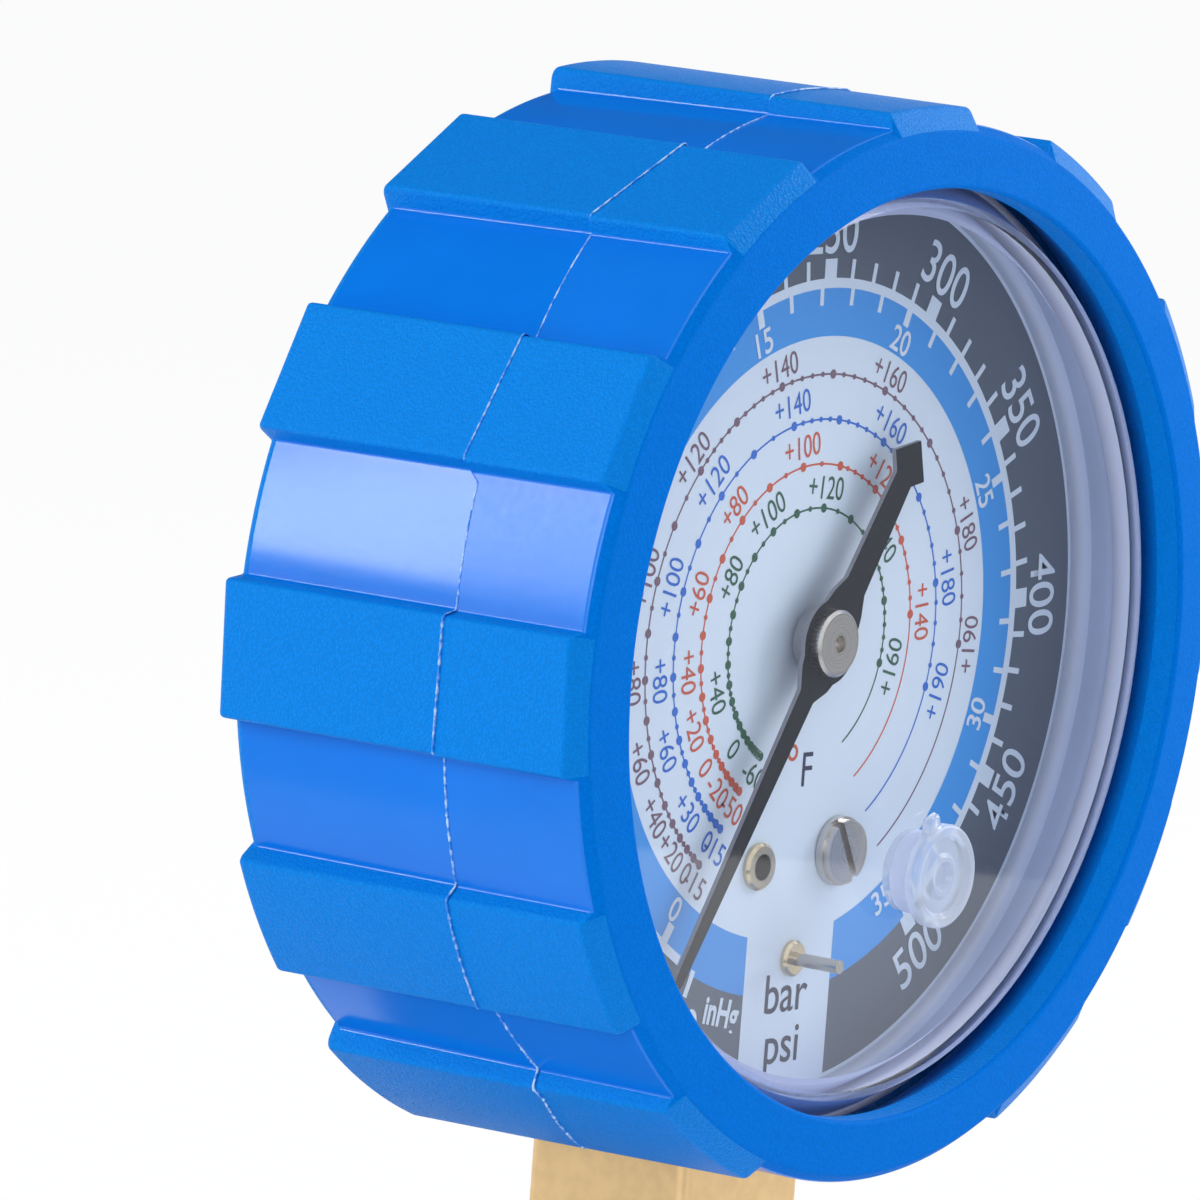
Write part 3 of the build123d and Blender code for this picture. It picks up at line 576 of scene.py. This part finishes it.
def build_flash():
    """The torn bead of rubber along the parting line, tall on the pads by the stem's left."""
    relief = boot_relief()
    path = []
    for here, ahead in zip(relief, relief[1:]):
        steps = max(1, round((ahead[0] - here[0]) / flash_step))
        path += [Vector(here).lerp(Vector(ahead), k / steps) for k in range(steps)]
    points = []
    for angle, share, flat in path:
        if not flash_range[0] < angle % 360 < flash_range[1]:
            continue
        meet = parting_depth(angle)
        ground = boot_r + ((pad_back_r + pad_r) / 2 * flat - boot_r) * share
        strong = 1.0 if angle % 360 > tall_flash_from else low_flash
        torn = noise.noise(Vector((angle * 2.3, 0, 0))) + 0.6 * noise.noise(Vector((angle * 9.0, 3, 0)))
        height = 0.05 + 0.10 * strong * max(0.0, 0.6 + torn)
        width = 0.06 + 0.10 * strong * max(0.0, 0.5 + noise.noise(Vector((angle * 3.1, 9, 0))))
        for r, n in ((ground - 0.05, -width), (ground + height * 0.7, -width * 0.4),
                     (ground + height, width * 0.2), (ground - 0.05, width)):
            points.append(place(*polar(r, angle), meet + n))
    last = len(points) - 4
    faces = grid_faces(len(points) // 4, 4, wrap_rows=False)
    faces += [(3, 2, 1, 0), (last, last + 1, last + 2, last + 3)]
    piece("boot_flash", mesh_from("boot_flash", points, faces), boot_flash)


build_boot()
build_flash()


# ---- dial print ----------------------------------------------------------------------------------
def circle(r, centre, steps=16):
    return [(centre[0] + r * cos(2 * pi * k / steps), centre[1] + r * sin(2 * pi * k / steps))
            for k in range(steps)]


def arc(r, start, end):
    """Points of an arc from start to end, in degrees, going clockwise when end is lower."""
    steps = max(2, round(abs(end - start)))
    return [polar(r, start + (end - start) * k / steps) for k in range(steps + 1)]


def band(r_in, r_out, start, end):
    return arc(r_in, start, end) + arc(r_out, end, start)


def bar_mark(r_in, r_out, angle, width):
    """A radial tick as a thin rectangle."""
    c, s = cos(radians(angle)), sin(radians(angle))
    h = width / 2
    return [(r_in * c + h * s, r_in * s - h * c), (r_out * c + h * s, r_out * s - h * c),
            (r_out * c - h * s, r_out * s + h * c), (r_in * c - h * s, r_in * s + h * c)]


def onto_dial(depth):
    """Takes flat artwork in millimetres onto the dial's face at this depth."""
    turn = Matrix.Rotation(pi / 2, 4, "X")
    return Matrix.Translation(place(0, 0, depth)) @ turn @ Matrix.Scale(mm, 4)


def flat_mesh(name, loops, depth):
    """Closed outlines filled where they don't overlap, one coat of ink thick."""
    curve = bpy.data.curves.new(name, "CURVE")
    curve.dimensions, curve.fill_mode = "2D", "BOTH"
    curve.extrude = ink / 2
    for loop in loops:
        spline = curve.splines.new("POLY")
        spline.points.add(len(loop) - 1)
        for point, (x, y) in zip(spline.points, loop):
            point.co = (x, y, 0, 1)
        spline.use_cyclic_u = True
    maker = bpy.data.objects.new(name, curve)
    mesh = bpy.data.meshes.new_from_object(maker)
    mesh.transform(onto_dial(depth))
    bpy.data.objects.remove(maker)
    bpy.data.curves.remove(curve)
    return mesh


def printed(name, loops, coat, material):
    return piece(name, flat_mesh(name, loops, (coat - 0.5) * ink), material)


def letters(text, height, squeeze=1.0, weight=0.0):
    """Text in the default face as a flat mesh, whose figures are this high, in millimetres."""
    def drawn(body):
        curve = bpy.data.curves.new("letters", "FONT")
        curve.body, curve.size, curve.offset = body, 1.0, weight
        maker = bpy.data.objects.new("letters", curve)
        mesh = bpy.data.meshes.new_from_object(maker)
        bpy.data.objects.remove(maker)
        bpy.data.curves.remove(curve)
        return mesh
    figure = drawn("0")
    tall = max(v.co.y for v in figure.vertices) - min(v.co.y for v in figure.vertices)
    bpy.data.meshes.remove(figure)
    mesh = drawn(text)
    scale = height / tall
    mesh.transform(Matrix.Diagonal((scale * squeeze, scale, 1, 1)))
    return mesh


def middle(mesh):
    xs = [v.co.x for v in mesh.vertices]
    ys = [v.co.y for v in mesh.vertices]
    return ((min(xs) + max(xs)) / 2, (min(ys) + max(ys)) / 2)


def lettering(name, labels, coat, material):
    """One piece from labels of (text, x, y, turn, height, squeeze, weight), each set by its middle."""
    bm = bmesh.new()
    for text, x, y, turn, height, squeeze, weight in labels:
        mesh = letters(text, height, squeeze, weight)
        cx, cy = middle(mesh)
        mesh.transform(Matrix.Translation((x, y, 0)) @ Matrix.Rotation(radians(turn), 4, "Z")
                       @ Matrix.Translation((-cx, -cy, 0)))
        mesh.transform(onto_dial(coat * ink))
        bm.from_mesh(mesh)
        bpy.data.meshes.remove(mesh)
    whole = bpy.data.meshes.new(name)
    bm.to_mesh(whole)
    bm.free()
    return piece(name, whole, material)


def round_label(text, r, angle, height, squeeze=1.0, weight=0.0):
    """A label that reads clockwise above the axis and the other way below it."""
    x, y = polar(r, angle)
    turn = angle - 90 if sin(radians(angle)) >= -0.02 else angle + 90
    return (text, x, y, turn, height, squeeze, weight)


def psi_angle(psi):
    return scale_start - degrees_per_psi * psi


def saturation(low, mid, high):
    """Pressure over temperature of a refrigerant, through three (deg F, psi absolute) points."""
    (t1, p1), (t2, p2), (t3, p3) = low, mid, high
    k = (log(p2) - log(p1)) / (log(p3) - log(p2)) * (t3 - t2) / (t2 - t1)
    c = (t3 - k * t1) / (k - 1)
    b = (log(p2) - log(p1)) / (1 / (t1 + c) - 1 / (t2 + c))
    a = log(p1) + b / (t1 + c)
    return lambda t: exp(a - b / (t + c)) - 14.7


# circle radius, label radius, ink, labelled temperatures, the temperature from which the marks are
# closer, and the vapour pressure over temperature
temperature_scales = {
    "brown": (18.8, 20.1, ink_brown, [-15, 0, 20, 40, 60, 80, 100, 120, 140, 160, 180, 190], 120,
              saturation((0, 24.0), (120, 184.0), (190, 428.0))),
    "azure": (15.6, 17.1, ink_azure, [-15, 0, 30, 60, 80, 100, 120, 140, 160, 180, 190], 140,
              saturation((0, 21.2), (100, 138.9), (190, 448.0))),
    "orange": (12.43, 13.85, ink_orange, [-50, -20, 0, 20, 40, 60, 80, 100, 120, 140], 110,
               saturation((0, 48.2), (80, 190.0), (140, 412.0))),
    "green": (9.3, 10.75, ink_green, [-60, 0, 40, 80, 100, 120, 140, 160], 140,
              saturation((0, 38.7), (80, 158.3), (160, 444.5))),
}
circle_end = 304.0


def spread(low, high, step):
    """Whole steps from low to high."""
    count = round((high - low) / step)
    return [low + step * k for k in range(count + 1)]


def ring_open(r_in, r_out):
    """A ring with the upright white strip left out of it."""
    def edge(r, x):
        return degrees(asin(x / r)) - 90
    return (arc(r_in, edge(r_in, strip_right), edge(r_in, strip_left) + 360)
            + arc(r_out, edge(r_out, strip_left) + 360, edge(r_out, strip_right)))


def build_print():
    printed("print_black_ring", [ring_open(black_in - 0.4, black_out)], 1, ink_black_and_reflection)
    printed("print_blue_ring", [ring_open(blue_in, black_in)], 2, ink_blue)
    line_ring = band(blue_out, black_in, line_ring_start, psi_angle(full_scale) - 0.4)
    printed("print_line_ring", [line_ring], 3, ink_white)
    ticks = []
    for psi in spread(10, full_scale, 10):
        wide = thick_tick if psi % 50 == 0 else tick_width
        ticks.append(bar_mark(black_in - 0.1, psi_tick_out, psi_angle(psi), wide))
    ticks.append(bar_mark(*vacuum_tick))
    printed("print_psi_ticks", ticks, 4, ink_white)
    ticks = [bar_mark(bar_tick_in, blue_out + 0.1, psi_angle(bar * psi_per_bar),
                      bar_thick_tick if bar % 5 == 0 else tick_width) for bar in range(2, 35)]
    ticks.append(bar_mark(bar_tick_in - 0.1, blue_out + 0.1, bar_zero_angle, bar_zero_width))
    printed("print_bar_ticks", ticks, 4, ink_white)
    numbers = [round_label(str(psi), psi_number_r, psi_angle(psi), psi_number_height, 0.93, 0.006)
               for psi in spread(50, full_scale, 50)]
    numbers.append(round_label("30", psi_number_r + 0.3, vacuum_label_angle, psi_number_height,
                               0.93, 0.006))
    numbers.append(("inHg", *polar(27.4, 255.2), -12.0, 2.1, 0.8, 0.03))
    numbers += [round_label(str(bar), bar_number_r, psi_angle(bar * psi_per_bar), bar_number_height,
                            0.95, 0.012) for bar in spread(5, 35, 5)]
    numbers.append(round_label("0", bar_number_r, bar_zero_label_angle, bar_number_height,
                               0.95, 0.012))
    lettering("print_numbers", numbers, 5, ink_white)
    lettering("print_units", [("bar", 0.75, -25.4, 0, 2.85, 0.98, 0.004),
                              ("psi", 0.62, -29.6, 0, 2.85, 0.98, 0.004),
                              ("F", 1.2, -9.4, 0, 2.5, 0.9, 0.0)], 2, ink_navy)
    printed("print_degree", [circle(0.62, (-0.67, -8.1)), circle(0.36, (-0.67, -8.1))], 2,
            ink_orange)

    for name, (r, label_r, colour, marks, fine_from, pressure) in temperature_scales.items():
        lowest, highest = marks[0], marks[-1]
        start = psi_angle(pressure(lowest))
        printed(f"print_{name}_line", [band(r - 0.07, r + 0.07, start, circle_end - 360)], 1, colour)
        big = spread(10 * round(lowest / 10 + 0.4), highest, 10)
        small = []
        for t in big[:-1]:
            parts = 5 if t >= fine_from else 2
            small += [t + 10 * k / parts for k in range(1, parts)]
        dots = [circle(0.34, polar(r, psi_angle(pressure(t))), 16) for t in big]
        printed(f"print_{name}_dots", dots, 2, colour)
        specks = [circle(0.2, polar(r, psi_angle(pressure(t))), 12) for t in small]
        printed(f"print_{name}_specks", specks, 3, colour)
        labels = [round_label(f"+{t}" if t > 0 else str(t), label_r, psi_angle(pressure(t)), 1.65,
                              0.88) for t in marks]
        lettering(f"print_{name}_numbers", labels, 2, colour)


build_print()


# ---- lens skirt ----------------------------------------------------------------------------------
def build_skirt():
    """The lens's foot on the dial's edge, and a fin that stands inside the lens's solid wall, both
    clouded by the lens's painted reflection.
    """
    top = face_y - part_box("lens")[1].y / mm + foot_overlap
    foot = [(-0.5, foot_lift), (0.9, foot_lift), (0.9, top)]
    fin = [(0.7, top), (-1.25, fin_tip), (-1.5, fin_tip), (0.25, top)]
    outline = [(dial_r + out, depth) for out, depth in foot + fin + [(-0.2, top)]]
    piece("lens_skirt", lathe("lens_skirt", outline), lens_clear)


build_skirt()


# ---- lens plug -----------------------------------------------------------------------------------
def build_plug():
    """Clear push-in plug: a shank, a dished head with a rim and rings, and a pull tab."""
    front = (face_y * mm - plug_low.y) / mm
    back = (face_y * mm - plug_high.y) / mm
    outline = rounded([(0, back + 0.6), (2.2, back + 0.6), (2.2, back), (2.94, back),
                    (2.94, front - 1.0), (3.75, front - 1.0), (3.75, front), (3.0, front),
                    (2.7, front - 0.35), (1.7, front - 0.35), (1.4, front - 0.1), (1.1, front - 0.1),
                    (0.8, front - 0.6), (0, front - 0.6)],
                   [0, 0.1, 0.1, 0.1, 0.05, 0.15, 0.3, 0.1, 0.1, 0.1, 0.1, 0.1, 0.1, 0])
    mesh = lathe("plug", outline, plug_middle, 72)
    bm = bmesh.new()
    bm.from_mesh(mesh)
    bmesh.ops.remove_doubles(bm, verts=bm.verts, dist=1e-7)
    tab = bmesh.ops.create_cube(bm, size=1.0)["verts"]
    bmesh.ops.scale(bm, vec=[side * mm for side in tab_size], verts=tab)
    edges = list({e for v in tab for e in v.link_edges})
    tab = bmesh.ops.bevel(bm, geom=edges, offset=tab_round * mm, segments=4, affect="EDGES")["verts"]
    turn = Matrix.Rotation(radians(-tab_angle), 3, "Y")
    bmesh.ops.rotate(bm, matrix=turn, verts=tab)
    x, y = polar(tab_r, tab_angle)
    middle_of_tab = place(plug_middle[0] + x, plug_middle[1] + y, front - 0.5)
    bmesh.ops.translate(bm, vec=middle_of_tab, verts=tab)
    bm.to_mesh(mesh)
    bm.free()
    mesh.shade_smooth()
    piece("plug_skin", mesh, plug_clear, body="plug", replaces=["lens_plug"])


build_plug()


# ---- threaded stem -------------------------------------------------------------------------------
def build_stem():
    """The CAD stem above the thread, and a real thread form below it."""
    low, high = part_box("restrictor")
    bore = (high.x - low.x) / 2 / mm + 0.02
    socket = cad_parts["socket"].data
    top, bottom = thread_top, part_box("socket")[0].z / mm
    bm = bmesh.new()
    bm.from_mesh(socket)
    bmesh.ops.bisect_plane(bm, geom=bm.verts[:] + bm.edges[:] + bm.faces[:],
                           plane_co=(0, 0, top * mm), plane_no=(0, 0, -1), clear_outer=True)
    upper = bpy.data.meshes.new("stem_upper")
    bm.to_mesh(upper)
    bm.free()
    piece("stem_body", upper, satin_brass, replaces=["socket"])

    around, levels = 96, round((top - bottom) / thread_pitch * 10)
    points = []
    for i in range(around):
        angle = 360 * i / around
        column = [(bore, top), (neck_r, top)]
        for j in range(levels + 1):
            z = top + (bottom - top) * j / levels
            phase = (z / thread_pitch - angle / 360) % 1.0
            flank = abs(phase - 0.5) * 2
            depth = thread_depth * min(1.0, max(0.0, flank_slope * flank - crest_flat))
            r = min(thread_crest - depth, thread_crest - end_chamfer + (z - bottom),
                    thread_crest - run_out + (top - z) * run_out_slope)
            column.append((r, z))
        column.append((bore + 0.3, bottom))
        column.append((bore, bottom + 0.3))
        points += [Vector((r * cos(radians(angle)), r * sin(radians(angle)), z)) * mm
                   for r, z in column]
    mesh = mesh_from("stem_thread", points, grid_faces(around, len(points) // around))
    piece("stem_thread", mesh, satin_brass)


build_stem()


# ---- floor, light and camera ---------------------------------------------------------------------
def seen_share(nodes, links):
    """A socket that is 1 where a camera, mirror or glass looks at the background, and 0 for light."""
    rays = nodes.new("ShaderNodeLightPath")
    share = rays.outputs["Is Camera Ray"]
    for kind in ("Is Glossy Ray", "Is Transmission Ray"):
        both = nodes.new("ShaderNodeMath")
        both.operation = "MAXIMUM"
        links.new(share, both.inputs[0])
        links.new(rays.outputs[kind], both.inputs[1])
        share = both.outputs[0]
    return share


def build_floor():
    corners = [(x * floor_reach, y * floor_reach, floor_height)
               for x, y in ((-1, -1), (1, -1), (1, 1), (-1, 1))]
    mesh = mesh_from("floor", corners, [(0, 1, 2, 3)])
    s = Shader("floor", (1, 1, 1, 1), 0.9, Specular_IOR_Level=0.0)
    glow = s.node("ShaderNodeEmission", {"Color": (1, 1, 1, 1), "Strength": 1.0})
    share = s.math("MULTIPLY", seen_share(s.tree.nodes, s.tree.links), floor_glow)
    both = s.node("ShaderNodeMixShader", {0: share, 1: s.main.outputs[0], 2: glow.outputs[0]})
    s.tree.links.new(both.outputs[0], s.tree.nodes["Material Output"].inputs["Surface"])
    mesh.materials.append(s.material)
    floor = bpy.data.objects.new("floor", mesh)
    bpy.context.scene.collection.objects.link(floor)


def build_world():
    world = bpy.data.worlds.new("studio")
    bpy.context.scene.world = world
    world.use_nodes = True
    nodes, links = world.node_tree.nodes, world.node_tree.links
    lit = nodes["Background"]
    lit.inputs["Color"].default_value = (0.90, 0.95, 1.0, 1)
    lit.inputs["Strength"].default_value = world_glow
    seen = nodes.new("ShaderNodeBackground")
    seen.inputs["Color"].default_value = (1, 1, 1, 1)
    seen.inputs["Strength"].default_value = 1.0
    mix = nodes.new("ShaderNodeMixShader")
    links.new(seen_share(nodes, links), mix.inputs[0])
    links.new(lit.outputs[0], mix.inputs[1])
    links.new(seen.outputs[0], mix.inputs[2])
    links.new(mix.outputs[0], nodes["World Output"].inputs["Surface"])


def card(name, centre, facing, size, glow):
    """A studio card that only gloss sees, with its middle at centre, in millimetres."""
    width, height = (s * mm / 2 for s in size)
    mesh = mesh_from(name, [(-width, -height, 0), (width, -height, 0), (width, height, 0),
                            (-width, height, 0)], [(0, 1, 2, 3)])
    s = Shader(name, (0, 0, 0, 1), 1.0)
    light = s.node("ShaderNodeEmission", {"Color": (0.9, 0.95, 1, 1), "Strength": glow})
    s.tree.links.new(light.outputs[0], s.tree.nodes["Material Output"].inputs["Surface"])
    mesh.materials.append(s.material)
    obj = bpy.data.objects.new(name, mesh)
    obj.location = Vector(centre) * mm
    obj.rotation_euler = Vector(facing).to_track_quat("Z", "Y").to_euler()
    obj.visible_camera = obj.visible_diffuse = obj.visible_shadow = False
    obj.visible_transmission = obj.visible_volume_scatter = False
    bpy.context.scene.collection.objects.link(obj)


def softbox(name, direction, distance, size, brightness):
    """A rectangular lamp that faces the dial's centre from this direction.

    Its brightness is what it adds, on its own, to a white surface that faces it."""
    lamp = bpy.data.lights.new(name, "AREA")
    lamp.shape = "RECTANGLE"
    lamp.size, lamp.size_y = (s * mm for s in size)
    lamp.energy = brightness * (pi * distance * mm) ** 2
    obj = bpy.data.objects.new(name, lamp)
    away = Vector(direction).normalized()
    obj.location = place(0, 0, 0) + away * distance * mm
    obj.rotation_euler = away.to_track_quat("Z", "Y").to_euler()
    bpy.context.scene.collection.objects.link(obj)


def build_camera():
    lens = bpy.data.cameras.new("camera")
    lens.sensor_fit = "HORIZONTAL"
    lens.sensor_width = 36.0
    lens.lens = camera_lens
    lens.clip_start, lens.clip_end = 0.01, 20.0
    camera = bpy.data.objects.new("camera", lens)
    camera.location = Vector(camera_at) * mm
    look = (Vector(camera_aim) - Vector(camera_at)).to_track_quat("-Z", "Y")
    roll = Matrix.Rotation(radians(-camera_roll), 3, "Z")
    camera.rotation_euler = (look.to_matrix() @ roll).to_euler()
    bpy.context.scene.collection.objects.link(camera)
    bpy.context.scene.camera = camera


build_floor()
build_world()
softbox("back_left", (-0.74, 0.6, 0.38), 700, (110, 380), 0.36)
softbox("right", (0.85, -0.5, 0.45), 700, (420, 420), 0.62)
softbox("top", (-0.1, -0.3, 1.0), 800, (500, 500), 0.16)
softbox("left_front", (-0.9, -0.35, 0.35), 900, (500, 400), 0.26)
card("front_card", (244, -208, 16), (-0.79, 0.6, 0.118), (170, 150), 0.17)
card("back_card", (-50, 780, 900), (0.05, -0.65, -0.75), (3200, 1700), 0.05)
card("low_card", (-22, 14, -5.9), (0, 0, 1), (70, 40), 0.08)
card("corner_card", (-95, -125, -5.9), (0, 0, 1), (110, 70), 0.1)
card("left_card", (-145, 90, -5.9), (0, 0, 1), (110, 90), 0.55)
build_camera()

scene = bpy.context.scene
scene.view_settings.view_transform = "Standard"
